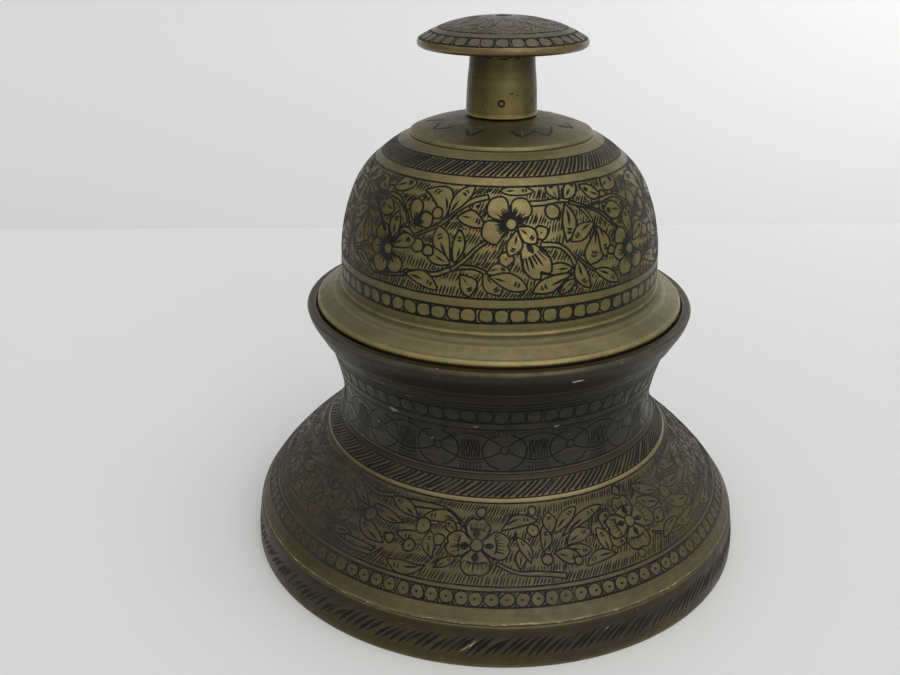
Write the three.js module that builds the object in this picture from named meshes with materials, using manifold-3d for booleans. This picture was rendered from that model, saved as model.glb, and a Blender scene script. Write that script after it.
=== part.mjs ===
// An engraved brass hand bell that rests in its own flared stand.
// Millimetres, +Z up. The origin is the middle of the stand's footprint, on the table.
//
// The stand is three turned rings, one on top of the other, and it is hollow right through. The bell
// sits in the ring at the top like a lid, and lifts straight off by its mushroom handle. One eye bolt
// holds cap, neck, disc and dome together, and the clapper hangs from its eye by an oval link.
import * as THREE from "three";
import { mergeVertices } from "three/addons/utils/BufferGeometryUtils.js";
import Module from "manifold-3d";

// Driving dimensions
const GAP = 0.3; // left between any two pieces that touch
const FOOT_R = 60; // the stand's outer radius on the table
const EDGE_Z = 10; // the foot's sharp edge, above its skirt
const WAIST_R = 37.2; // narrowest part of the stand
const SEAM_Z = 32.6; // where foot and waist meet
const LEDGE_Z = 53.3; // where waist and ring meet
const LIP_Z = 60; // top of the stand
const LIP_R = 44.95; // widest part of the stand's top
const BORE_R = 34.8; // the stand's clear way through
const SEAT_Z = 58.3; // the ledge the bell sits on, inside the lip
const FLANGE_R = 42.5; // the bell's widest part
const DOME_R = 36.6; // the bell's straight side, outside
const WALL = 2.6; // the bell's wall
const CROWN_Z = 98.3; // top of the bell, under the disc
const DISC_R = 20;
const DISC_TOP_Z = 102;
const CAP_Z = 116.7; // underside of the mushroom
const CAP_R = 18.5;
const TOP_Z = 123.2;
const PIN_Z = 105.8; // the locking pin in the neck
const ROD_R = 2.2; // the eye bolt's shank
const STUD_R = 1.5; // its reduced end, peened over the cap
const EYE_Z = 83.6; // middle of the eye bolt's lowest wire, where the link swings
const LINK_DROP = 6.8; // from there to the link's lowest wire, where the clapper swings
const BOB_R = 8;
const BOB_Z = 50.6; // widest part of the striker

// Facets round a full turn
const ROUND = 40; // stand and bell
const NECK_ROUND = 32; // handle and clapper
const WIRE_ROUND = 8; // round a wire's section

const NECK_BORE = ROD_R + GAP;

const wasm = await Module();
wasm.setup();

const group = new THREE.Group();

const BRASS = {
  foot: { color: 0x4f4429, roughness: 0.55 },
  waist: { color: 0x39362d, roughness: 0.5 },
  bell: { color: 0x8a7a45, roughness: 0.45 },
  handle: { color: 0x77694a, roughness: 0.5 },
  inside: { color: 0x8f7b4a, roughness: 0.6 },
};

// Adds one named piece to the group.
function add(name, geometry, look) {
  const material = new THREE.MeshStandardMaterial({ ...BRASS[look], metalness: 1 });
  const mesh = new THREE.Mesh(geometry, material);
  mesh.name = name;
  group.add(mesh);
}

// A piece turned on a lathe about Z, from its half section as [radius, height] corners. The corners
// run anticlockwise with the radius to the right: up the outside, inwards over the top, down the
// inside. A hollow piece's section closes on itself, and a solid one's starts and ends on the axis.
function turned(corners, facets) {
  const points = corners.map(([r, z]) => new THREE.Vector2(r, z));
  if (corners[0][0] > 0) {
    points.push(points[0].clone());
  }
  return new THREE.LatheGeometry(points, facets).rotateX(Math.PI / 2);
}

// Points of a circular arc in the half section, from one angle to another in degrees.
function arc(r, z, radius, from, to, steps) {
  const points = [];
  for (let i = 0; i <= steps; i += 1) {
    const angle = THREE.MathUtils.degToRad(from + ((to - from) * i) / steps);
    points.push([r + radius * Math.cos(angle), z + radius * Math.sin(angle)]);
  }
  return points;
}

// Points of a smooth curve through a few corners of the half section.
function swept(corners, steps) {
  const curve = new THREE.SplineCurve(corners.map(([r, z]) => new THREE.Vector2(r, z)));
  return curve.getPoints(steps).map((p) => [p.x, p.y]);
}

// Solid of a closed geometry, for cutting and joining.
function solid(geometry) {
  const bare = geometry.clone();
  bare.deleteAttribute("normal");
  bare.deleteAttribute("uv");
  const merged = mergeVertices(bare, 1e-4);
  const vertProperties = new Float32Array(merged.attributes.position.array);
  const triVerts = new Uint32Array(merged.index.array);
  return new wasm.Manifold(new wasm.Mesh({ numProp: 3, vertProperties, triVerts }));
}

// Geometry of a solid that has been cut or joined.
function geometryOf(manifold) {
  const mesh = manifold.getMesh();
  const geometry = new THREE.BufferGeometry();
  geometry.setAttribute("position", new THREE.BufferAttribute(mesh.vertProperties, 3));
  geometry.setIndex(new THREE.BufferAttribute(mesh.triVerts, 1));
  return geometry;
}

// A closed ring of round wire in the XZ plane (side 0) or the YZ plane (side a quarter turn).
function wireRing(radius, wire, z, side) {
  const ring = new THREE.TorusGeometry(radius, wire, WIRE_ROUND, 24);
  return ring.rotateX(Math.PI / 2).rotateZ(side).translate(0, 0, z);
}

// Stand: foot. A hollow casting: skirt, sharp edge, then an ogee flare that rises to a collar.
const FOOT_WALL = 2.9;
const COLLAR_R = BORE_R + 1.5 + GAP; // bore of the collar that takes the waist's spigot
const SPIGOT_Z = SEAM_Z - 6;
const skirt = [[FOOT_R, 0], [FOOT_R - 0.1, 3], [FOOT_R - 0.9, 8.6], [FOOT_R - 1.4, EDGE_Z]];
const flareCorners = [[58.5, EDGE_Z + 0.15], [54.9, 15], [50, 20.2], [44.6, 25], [40.2, 29.7], [38.2, SEAM_Z]];
const flare = swept(flareCorners, 10);
const underside = [
  [COLLAR_R, SPIGOT_Z - GAP],
  [BORE_R, SPIGOT_Z - GAP],
  [BORE_R, SPIGOT_Z - 2.2],
  [41, 24],
  [46.6, 19],
  [51.6, 13.6],
  [55, 8.4],
  [FOOT_R - FOOT_WALL, 3],
  [FOOT_R - FOOT_WALL, 0],
];
add("stand_foot", turned([...skirt, ...flare, [COLLAR_R, SEAM_Z], ...underside], ROUND), "foot");

// Stand: waist. A hollow spool with a spigot at each end.
const SPIGOT_R = BORE_R + 1.5;
const RING_SPIGOT_R = 38.4;
const RING_SPIGOT_Z = 56.6;
const spoolTop = [41.3, LEDGE_Z - GAP];
const spool = swept([[38, SEAM_Z + GAP], [WAIST_R, 37.6], [37.7, 42], [39.2, 48], [40.8, 52.2], spoolTop], 9);
const waist = [
  [SPIGOT_R, SPIGOT_Z],
  [SPIGOT_R, SEAM_Z + GAP],
  ...spool,
  [RING_SPIGOT_R, LEDGE_Z - GAP],
  [RING_SPIGOT_R, RING_SPIGOT_Z],
  [BORE_R + 0.4, RING_SPIGOT_Z],
  [BORE_R, RING_SPIGOT_Z - 0.6],
  [BORE_R, SPIGOT_Z],
];
add("stand_waist", turned(waist, ROUND), "waist");

// Stand: ring. A fine step, a hollow lip above it, and the rebate the bell sits in.
const REBATE_R = 43.3;
const lip = [
  [42, LEDGE_Z],
  [42.3, LEDGE_Z + 0.7],
  [43.5, 55.6],
  [44.5, 57.6],
  [LIP_R, 59.4],
  [LIP_R - 0.4, LIP_Z],
  [REBATE_R + 0.3, LIP_Z],
  [REBATE_R, LIP_Z - 0.3],
];
const ringBody = [
  [RING_SPIGOT_R + GAP, LEDGE_Z],
  ...lip,
  [REBATE_R, SEAT_Z],
  [BORE_R + 0.8, SEAT_Z],
  [BORE_R + 0.4, SEAT_Z - 0.4],
  [BORE_R + 0.4, RING_SPIGOT_Z + GAP],
  [RING_SPIGOT_R + GAP, RING_SPIGOT_Z + GAP],
];
add("stand_ring", turned(ringBody, ROUND), "waist");

// Bell: dome. Flange with a rolled bead, a ridge and a cove at its foot, a straight side, a round
// shoulder and a flat crown. Inside, the wall is even and flares a little at the mouth.
const FLANGE_Z = SEAT_Z + GAP;
const BEAD_R = 0.9;
const flange = [
  [FLANGE_R - 0.8, FLANGE_Z],
  ...arc(FLANGE_R - BEAD_R, 60.7, BEAD_R, -45, 75, 4),
  [40.2, 62.3],
  [38, 63.2],
  [37.2, 63.5],
  [36.9, 64.2],
  [DOME_R + 0.05, 65.2],
];
const shoulder = [[34.8, 82], [32.4, 88], [29.5, 92], [25.4, 95.5], [20.6, CROWN_Z]];
const side = swept([[DOME_R, 67], [36.5, 71], [36.1, 76], ...shoulder], 12);
const crownLow = CROWN_Z - WALL;
const insideCorners = [[18, crownLow], [24.2, 93], [29, 88.5], [32.3, 81.4], [33.7, 75], [DOME_R - WALL, 69]];
const hollow = [
  [NECK_BORE, CROWN_Z],
  [NECK_BORE, crownLow],
  ...swept(insideCorners, 8),
  [DOME_R - WALL, 62.5],
  [35.4, FLANGE_Z],
];
add("bell_dome", turned([...flange, ...side, ...hollow], ROUND), "bell");

// Bell: crown disc. It lies on the crown and swells up to the neck.
const disc = [
  [DISC_R - 0.4, CROWN_Z + GAP],
  [DISC_R, CROWN_Z + 0.7],
  [DISC_R - 0.25, CROWN_Z + 1.1],
  [16.4, 100.5],
  [12.2, 101.5],
  [8.6, DISC_TOP_Z],
  [NECK_BORE, DISC_TOP_Z],
  [NECK_BORE, CROWN_Z + GAP],
];
add("crown_disc", turned(disc, ROUND), "bell");

// Handle: neck. A tapered sleeve, cross drilled at the front for its locking pin.
const PIN_R = 0.5;
const PIN_HOLE_R = PIN_R + GAP;
const NECK_SURFACE = 7.72; // the neck's radius at the pin
const NECK_Z = DISC_TOP_Z + GAP;
const NECK_TOP_Z = CAP_Z - GAP;
const sleeve = [[7.9, NECK_Z], [7.8, 104.2], [7.6, 109], [7.2, 113], [7.1, NECK_TOP_Z]];
const neckBlank = turned([...sleeve, [NECK_BORE, NECK_TOP_Z], [NECK_BORE, NECK_Z]], NECK_ROUND);
const DRILL_LENGTH = 8;
const drill = new THREE.CylinderGeometry(PIN_HOLE_R, PIN_HOLE_R, DRILL_LENGTH, 12);
drill.translate(0, -NECK_BORE + 0.5 - DRILL_LENGTH / 2, PIN_Z);
add("handle_neck", geometryOf(solid(neckBlank).subtract(solid(drill))), "handle");

const pinLength = NECK_SURFACE - NECK_BORE;
const pin = new THREE.CylinderGeometry(PIN_R, PIN_R, pinLength, 12);
pin.translate(0, -NECK_BORE - pinLength / 2, PIN_Z);
add("neck_pin", pin, "inside");

// Handle: mushroom cap. Cored underneath, counterbored for the bolt's shoulder, drilled through for
// its reduced end.
const SHOULDER_Z = 118.3;
const cap = [
  [NECK_BORE, CAP_Z],
  [8.2, CAP_Z],
  [9, CAP_Z + 0.9],
  [15.6, CAP_Z + 0.9],
  [16.6, CAP_Z],
  [17.9, CAP_Z + 0.1],
  [CAP_R - 0.1, CAP_Z + 0.6],
  [CAP_R, CAP_Z + 1.1],
  [CAP_R - 0.3, 118.5],
  [17.2, 119.1],
  [15.2, 120.2],
  [12.2, 121.4],
  [8.6, 122.3],
  [4.8, 122.85],
  [STUD_R + GAP, TOP_Z - 0.15],
  [STUD_R + GAP, SHOULDER_Z + GAP],
  [NECK_BORE, SHOULDER_Z + GAP],
];
add("handle_cap", turned(cap, ROUND), "handle");

// Handle: eye bolt through the whole stack, peened at the top, forged into an eye at the bottom. The
// eye lies in the YZ plane.
const EYE_R = 3.2;
const EYE_WIRE = 1.1;
const eyeMiddle = EYE_Z + EYE_R;
const shank = [
  [0, eyeMiddle + EYE_R - 0.4],
  [1.5, eyeMiddle + EYE_R - 0.4],
  [ROD_R, eyeMiddle + EYE_R + 1.2],
  [ROD_R, SHOULDER_Z],
  [STUD_R, SHOULDER_Z],
  [STUD_R, TOP_Z - 0.2],
  [STUD_R - 0.5, TOP_Z],
  [0, TOP_Z],
];
const eye = wireRing(EYE_R, EYE_WIRE, eyeMiddle, Math.PI / 2);
add("tie_rod", geometryOf(solid(turned(shank, 16)).add(solid(eye))), "inside");

// Bell: washer and hexagon nut under the crown, inside
const WASHER_TOP_Z = crownLow - GAP;
const WASHER_THICK = 1;
const WASHER_R = 6.5;
const washerLow = WASHER_TOP_Z - WASHER_THICK;
const washer = [
  [NECK_BORE, washerLow],
  [WASHER_R, washerLow],
  [WASHER_R, WASHER_TOP_Z],
  [NECK_BORE, WASHER_TOP_Z],
];
add("crown_washer", turned(washer, 24), "inside");

const NUT_HEIGHT = 2.8;
const NUT_CORNER_R = 5.2;
const nutShape = new THREE.Shape();
for (let i = 0; i < 6; i += 1) {
  const angle = (i * Math.PI) / 3;
  const corner = [NUT_CORNER_R * Math.cos(angle), NUT_CORNER_R * Math.sin(angle)];
  nutShape[i ? "lineTo" : "moveTo"](...corner);
}
nutShape.closePath();
nutShape.holes.push(new THREE.Path().absarc(0, 0, NECK_BORE, 0, 2 * Math.PI, true));
const nutLow = washerLow - GAP - NUT_HEIGHT;
const nut = new THREE.ExtrudeGeometry(nutShape, { depth: NUT_HEIGHT, bevelEnabled: false, curveSegments: 12 });
nut.translate(0, 0, nutLow);
add("crown_nut", nut, "inside");

// Clapper: oval link. A wire ring in the XZ plane, pulled apart at its middle.
const LINK_R = 3;
const LINK_WIRE = 0.8;
const linkTop = EYE_Z + EYE_WIRE + LINK_WIRE + GAP;
const linkLow = EYE_Z - LINK_DROP;
const linkMiddle = (linkTop + linkLow) / 2;
const linkStretch = (linkTop - linkLow) / 2 - LINK_R;
const link = new THREE.TorusGeometry(LINK_R, LINK_WIRE, WIRE_ROUND, 24).rotateX(Math.PI / 2);
const linkPoints = link.attributes.position;
for (let i = 0; i < linkPoints.count; i += 1) {
  const z = linkPoints.getZ(i);
  linkPoints.setZ(i, z + linkMiddle + (z > -0.01 ? linkStretch : -linkStretch));
}
add("clapper_link", link, "inside");

// Clapper: wire rod with an eye at its top, in the YZ plane, hung on the link's lowest wire. It runs
// down through the striker and is peened under a small burr.
const CLAPPER_WIRE = 0.9;
const CLAPPER_EYE_R = 2.8;
const clapperTop = linkLow + LINK_WIRE + CLAPPER_WIRE + GAP;
const clapperMiddle = clapperTop - CLAPPER_EYE_R;
const clapperEyeLow = clapperMiddle - CLAPPER_EYE_R;
const BOB_TOP_Z = BOB_Z + 10;
const BOB_LOW_Z = BOB_Z - 7;
const BURR_THICK = 0.8;
const rodLow = BOB_LOW_Z - GAP - BURR_THICK - 0.7;
const rodSection = [
  [0, rodLow],
  [0.6, rodLow],
  [CLAPPER_WIRE, rodLow + 0.4],
  [CLAPPER_WIRE, clapperEyeLow + 0.4],
  [0, clapperEyeLow + 0.4],
];
const clapperEye = wireRing(CLAPPER_EYE_R, CLAPPER_WIRE, clapperMiddle, Math.PI / 2);
const clapperRod = solid(turned(rodSection, 12)).add(solid(clapperEye));
add("clapper_rod", geometryOf(clapperRod), "inside");

const BOB_BORE = CLAPPER_WIRE + GAP;
const bob = [
  [BOB_BORE, BOB_LOW_Z],
  [3.6, BOB_LOW_Z],
  [6.2, BOB_Z - 5],
  [7.6, BOB_Z - 2.4],
  [BOB_R, BOB_Z],
  [7.5, BOB_Z + 2.7],
  [5.9, BOB_Z + 5.3],
  [3.6, BOB_Z + 7.4],
  [2.2, BOB_TOP_Z],
  [BOB_BORE, BOB_TOP_Z],
];
add("clapper_bob", turned(bob, NECK_ROUND), "inside");

const burrTop = BOB_LOW_Z - GAP;
const BURR_R = 2.6;
const burr = [
  [BOB_BORE, burrTop - BURR_THICK],
  [BURR_R, burrTop - BURR_THICK],
  [BURR_R, burrTop],
  [BOB_BORE, burrTop],
];
add("clapper_burr", turned(burr, 16), "inside");

export default group;
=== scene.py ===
import bpy
import numpy as np
from mathutils import Matrix, Vector


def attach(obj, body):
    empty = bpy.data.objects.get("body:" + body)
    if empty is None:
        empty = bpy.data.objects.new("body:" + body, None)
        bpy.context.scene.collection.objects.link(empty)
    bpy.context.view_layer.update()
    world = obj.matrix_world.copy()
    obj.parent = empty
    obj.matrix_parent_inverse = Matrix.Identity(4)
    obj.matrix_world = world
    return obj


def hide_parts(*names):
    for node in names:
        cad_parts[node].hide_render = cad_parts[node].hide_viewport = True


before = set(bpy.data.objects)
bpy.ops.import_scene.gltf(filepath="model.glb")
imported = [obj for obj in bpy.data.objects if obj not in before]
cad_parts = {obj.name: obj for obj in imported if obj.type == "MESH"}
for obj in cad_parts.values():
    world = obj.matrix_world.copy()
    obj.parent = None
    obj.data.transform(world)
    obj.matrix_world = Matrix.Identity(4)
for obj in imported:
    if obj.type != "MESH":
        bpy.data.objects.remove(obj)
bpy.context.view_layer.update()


# ------------
# Camera. It stands at arm's length in front of the bell, a little above its cap, and looks down
# on it, with the bell slightly right of the middle of the picture.
def add(name, data):
    """A new object in the scene."""
    thing = bpy.data.objects.new(name, data)
    bpy.context.scene.collection.objects.link(thing)
    return thing


def face(thing, at, way):
    """Stands a camera or a light at a place, facing a way."""
    turn = way.to_track_quat("-Z", "Y").to_matrix().to_4x4()
    thing.matrix_world = Matrix.Translation(at) @ turn


camera_data = bpy.data.cameras.new("camera")
camera_data.sensor_width = 36
camera_data.lens = 39.54
camera_data.dof.use_dof = False
camera = add("camera", camera_data)
bpy.context.scene.camera = camera
CAMERA_AT = Vector((0, -0.2203, 0.144))
LOOK_LEFT = np.radians(2.95)
LOOK_DOWN = np.radians(23.5)
level_way = np.array([-np.sin(LOOK_LEFT), np.cos(LOOK_LEFT)]) * np.cos(LOOK_DOWN)
face(camera, CAMERA_AT, Vector((*level_way, -np.sin(LOOK_DOWN))))


# ------------
# Table and wall. The bell stands on a pale table whose far edge is about a hand's length behind
# it, with a pale wall further back. A soft ceiling light hangs above, a small one lights the right
# of the wall, and another, in front on the right, stands for a window.
def plug(value, socket):
    """Gives an input a number or a colour, or joins another node's output to it."""
    if isinstance(value, bpy.types.NodeSocket):
        socket.id_data.links.new(value, socket)
    elif isinstance(value, tuple) and len(socket.default_value) == 4:
        socket.default_value = (*value, 1)
    else:
        socket.default_value = value


def new_material(name):
    """A new material, and the inputs of its shader."""
    material = bpy.data.materials.new(name)
    material.use_nodes = True
    return material, material.node_tree.nodes["Principled BSDF"].inputs


def plain(name, colour, roughness):
    """A plain painted surface."""
    material, inputs = new_material(name)
    plug(colour, inputs["Base Color"])
    plug(roughness, inputs["Roughness"])
    return material


def panel(name, corners, material):
    """One flat four-cornered face."""
    mesh = bpy.data.meshes.new(name)
    mesh.from_pydata(corners, [], [(0, 1, 2, 3)])
    mesh.materials.append(material)
    add(name, mesh)


SIDE = 2
TABLE_BACK = 0.249
TABLE_SKEW = 0.15  # how much further back the table's edge is at its right end than in the middle
WALL_BACK = 0.85
WALL_FOOT, WALL_TOP = -0.8, 0.6
left_back = (-SIDE, TABLE_BACK - TABLE_SKEW, 0)
right_back = (SIDE, TABLE_BACK + TABLE_SKEW, 0)
table_paint = plain("pale_table", (0.73, 0.73, 0.725), 0.6)
panel("table", [(-SIDE, -SIDE, 0), (SIDE, -SIDE, 0), right_back, left_back], table_paint)
wall_corners = [(-SIDE, WALL_FOOT), (SIDE, WALL_FOOT), (SIDE, WALL_TOP), (-SIDE, WALL_TOP)]
wall_paint = plain("pale_wall", (0.86, 0.86, 0.86), 0.8)
panel("wall", [(x, WALL_BACK, z) for x, z in wall_corners], wall_paint)


def area_light(name, at, target, size, power):
    """A square soft light at one place, facing another."""
    data = bpy.data.lights.new(name, "AREA")
    data.size = size
    data.energy = power
    face(add(name, data), at, Vector(target) - Vector(at))


area_light("ceiling_light", (0.3, -0.25, 1.5), (0, 0, 0.05), 1.4, 4.5)
area_light("wall_light", (0.5, 0.5, 0.35), (0.45, 0.85, -0.05), 0.4, 1.15)
area_light("window_light", (0.42, -0.83, 0.5), (0, 0, 0.07), 0.4, 1.1)


def node(tree, kind, values=None, **settings):
    """A new node, with values for its inputs."""
    made = tree.nodes.new("ShaderNode" + kind)
    for key, value in settings.items():
        setattr(made, key, value)
    for key, value in (values or {}).items():
        plug(value, made.inputs[key])
    return made


def ramp(value, low, high, at_low=0, at_high=1):
    """Spreads a value from one range to another."""
    limits = {"Value": value, "From Min": low, "From Max": high, "To Min": at_low, "To Max": at_high}
    return node(value.id_data, "MapRange", limits).outputs["Result"]


# The room is bright above and in front, a little to the right, and darker to the left and behind:
# its light follows the cosine of the angle between a direction and BRIGHT_WAY.
BRIGHT_WAY = (0.32, -0.62, 0.67)
world = bpy.data.worlds.new("room")
bpy.context.scene.world = world
world.use_nodes = True
room = world.node_tree
direction = node(room, "TexCoord").outputs["Generated"]
facing = node(room, "VectorMath", {0: direction, 1: BRIGHT_WAY}, operation="DOT_PRODUCT")
room_light = room.nodes["Background"]
plug(ramp(facing.outputs["Value"], -0.6, 0.95, 0.2, 1), room_light.inputs["Color"])
plug(1.0, room_light.inputs["Strength"])
bpy.context.scene.view_settings.view_transform = "Standard"

# ------------
# Foot. The lowest ring of the stand, a hollow brass casting turned on a lathe. It has a plain
# skirt with a sharp edge, then flares up in an ogee to the collar that takes the waist.
MM = 0.001
FINE = 0.04  # millimetres between the places where a section is worked out
SHARPEST = 6  # degrees that a section turns, at most, from one row of points to the next


def curve(*points):
    """A smooth stretch of a section through a few places. Each span between two places is a cubic
    whose slope at each end is half the chord between that end's neighbours (Catmull-Rom)."""
    given = np.array(points, float)
    padded = np.vstack([2 * given[0] - given[1], given, 2 * given[-1] - given[-2]])
    part = np.linspace(0, 1, 60, endpoint=False)[:, None]
    before, start, end, after = (padded[i : len(padded) - 3 + i, None] for i in range(4))
    spans = (
        start
        + part * (end - before) / 2
        + part**2 * (2 * before - 5 * start + 4 * end - after) / 2
        + part**3 * (3 * start - before - 3 * end + after) / 2
    )
    return np.vstack([spans.reshape(-1, 2), given[-1:]])


def smoothing(reach, width):
    """Weights of a running mean, a Gaussian of that width."""
    weights = np.exp(-0.5 * (np.arange(-reach, reach + 1) * FINE / width) ** 2)
    return weights / weights.sum()


def section(*stretches, ease=0.1):
    """A turned piece's half section, closed on itself, as places FINE apart, walked anticlockwise
    with the radius to the right. Corners are eased by a running mean weighted by a Gaussian of
    width ease, as polishing does."""
    path = np.vstack([np.array(s, float) for s in stretches])
    path = np.vstack([path, path[:1]])
    run = np.concatenate([[0], np.cumsum(np.hypot(*np.diff(path, axis=0).T))])
    places = np.linspace(0, run[-1], int(run[-1] / FINE), endpoint=False)
    dense = np.column_stack([np.interp(places, run, path[:, i]) for i in (0, 1)])
    reach = int(4 * ease / FINE) + 1
    weights = smoothing(reach, ease)
    wide = np.vstack([dense[-reach:], dense, dense[:reach]])
    return np.column_stack([np.convolve(wide[:, i], weights, "valid") for i in (0, 1)])


def bends(track, spread):
    """How sharply a section turns at each place, in radians per millimetre, averaged over a
    spread: more than 0 at an outside corner, less than 0 at an inside one."""
    step = np.roll(track, -1, 0) - track
    heading = np.unwrap(np.arctan2(step[:, 1], step[:, 0]))
    turn = np.diff(heading, prepend=heading[0])
    turn[0] = (heading[0] - heading[-1] + np.pi) % (2 * np.pi) - np.pi
    reach = int(3 * spread / FINE)
    return np.convolve(np.pad(turn / FINE, reach, mode="wrap"), smoothing(reach, spread), "valid")


def nearest(track, *places):
    """Where on a section the places nearest to some given ones are, in order along it."""
    return sorted(np.argmin(np.hypot(*(track - place).T)) for place in places)


def by_side(angle, spans):
    """How much of something there is at each angle round a piece. A span is a first angle, a last
    one and an amount, and its ends fade over 20 degrees."""
    total = np.zeros(len(angle))
    for first, last, amount in spans:
        off = np.abs((angle - (first + last) / 2 + 180) % 360 - 180)
        total += amount * np.clip(((last - first) / 2 + 10 - off) / 20, 0, 1)
    return total


def build(name, points, faces, material, slot, body, smooth, stands_for=None, **carried):
    """A piece from its points, in millimetres, and faces. carried are attributes of the points."""
    mesh = bpy.data.meshes.new(name)
    mesh.from_pydata((points.reshape(-1, 3) * MM).tolist(), [], faces)
    mesh.polygons.foreach_set("use_smooth", np.full(len(faces), smooth))
    for label, values in carried.items():
        values = values.astype(np.float32)
        mesh.attributes.new(label, "FLOAT", "POINT").data.foreach_set("value", values)
    mesh.materials.append(material)
    piece = add(name, mesh)
    if stands_for:
        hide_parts(stands_for)
    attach(piece, body)


def turned(
    name, track, body, slot, material, stands_for, around, longest=1, polish=1, soil=(), painted_side_shading=()
):
    """A piece turned about the vertical axis: the section carried round a circle. Along the
    section, places are as far apart as longest millimetres where it is straight, and closer where
    it bends. Three attributes go with it: worn, where an outside corner is rubbed bright, as much
    as polish says; grimy, where dirt lies in a corner; and soiled, how dark the brass
    has gone, with painted shade, below nothing where it is kept bright or carries painted light.
    soil gives that for stretches of the section, each a first place, a last one and an
    amount, and painted_side_shading gives painted shade and light added for spans of the turn, a
    side darker or lighter as the room's light falls on it."""
    bend = bends(track, 0.25)
    soiled = np.zeros(len(track))
    for start, end, amount in soil:
        first, last = nearest(track, start, end)
        soiled[first : last + 1] = amount
    blur = np.ones(int(0.5 / FINE)) / int(0.5 / FINE)
    margin = len(blur)
    soiled = np.convolve(np.pad(soiled, margin, mode="edge"), blur, "same")[margin:-margin]
    wear = np.clip(bend / 0.9, 0, 1) * polish * np.clip(1 - soiled, 0, 1)
    grime = np.clip(-bends(track, 0.5) / 0.5, 0, 1) * polish
    need = np.cumsum(FINE / longest + np.abs(bend) * FINE / np.radians(SHARPEST))
    wanted = np.linspace(need[0], need[-1], int(need[-1]), endpoint=False)
    pick = np.unique(np.clip(np.searchsorted(need, wanted), 0, len(track) - 1))
    r, z = track[pick].T[..., None]
    angle = np.linspace(0, 2 * np.pi, around, endpoint=False)
    points = np.stack([r * np.sin(angle), -r * np.cos(angle), z + 0 * angle], -1)
    column = np.arange(around)
    beside = np.roll(column, -1)
    low = np.arange(len(pick))[:, None] * around
    high = np.roll(low, -1, 0)
    faces = np.stack([low + column, low + beside, high + beside, high + column], -1)
    worn, grimy, soiled = (np.repeat(a[pick], around) for a in (wear, grime, soiled))
    # Painted shade and light round the turn: a side of the piece darker or lighter as the room's light
    # falls on it.
    soiled = soiled + np.tile(by_side(np.degrees(angle), painted_side_shading), len(pick))
    faces = faces.reshape(-1, 4).tolist()
    build(
        name, points, faces, material, slot, body, True, stands_for, worn=worn, grimy=grimy, soiled=soiled
    )


def noise(vector, scale, detail, rough):
    """Cloudy noise, read at a place."""
    values = {"Vector": vector, "Scale": scale, "Detail": detail, "Roughness": rough}
    return node(vector.id_data, "TexNoise", values).outputs["Fac"]


def mix(amount, a, b):
    """From colour a to colour b, by that amount."""
    return node(amount.id_data, "Mix", {0: amount, 6: a, 7: b}, data_type="RGBA").outputs[2]


def maths(kind, a, b=0.0):
    """A sum of a kind that the maths node does."""
    return node(a.id_data, "Math", {0: a, 1: b}, operation=kind).outputs["Value"]


def times(a, b):
    return maths("MULTIPLY", a, b)


def plus(a, b):
    return maths("ADD", a, b)


GRIME = (0.02, 0.018, 0.012)
DUST = (0.25, 0.228, 0.155)
SPECK = (0.5, 0.48, 0.42)


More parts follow.
